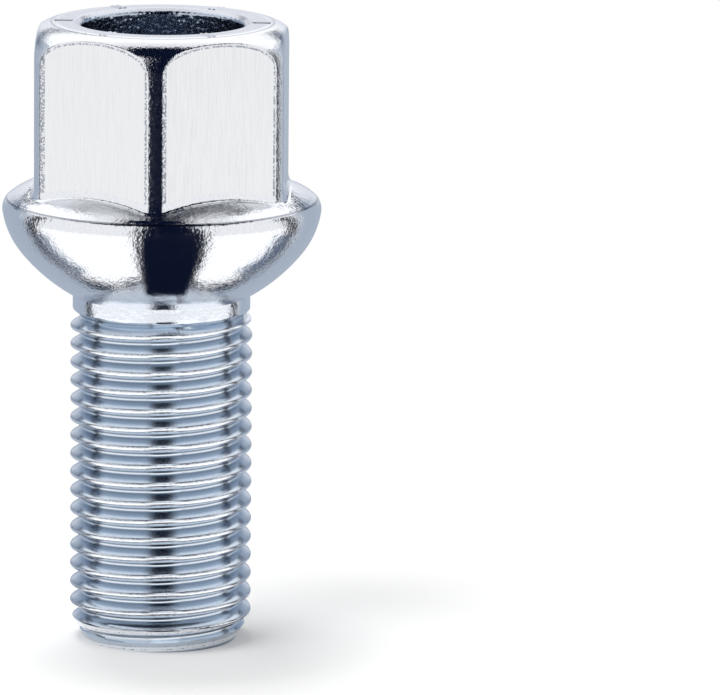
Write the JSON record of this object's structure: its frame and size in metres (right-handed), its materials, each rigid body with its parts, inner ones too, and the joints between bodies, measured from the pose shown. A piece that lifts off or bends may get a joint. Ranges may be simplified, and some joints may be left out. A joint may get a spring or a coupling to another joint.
{
  "type": "wheel bolt",
  "caption": "Hexagon-head wheel bolt with a ball-seat collar, a recessed head and a threaded shank with a flat end.",
  "frame": {"origin": "centre of the flat end face of the thread, which the bolt stands on", "axes": "+Z along the bolt's axis up to the head; -Y through one corner of the hexagon, the front"},
  "size_m": [0.0244, 0.0244, 0.0483],
  "materials": {
    "plated_steel": "bright bluish zinc plating over forged steel"
  },
  "bodies": {
    "root": {"wheel_bolt": "plated_steel"}
  },
  "joints": []
}
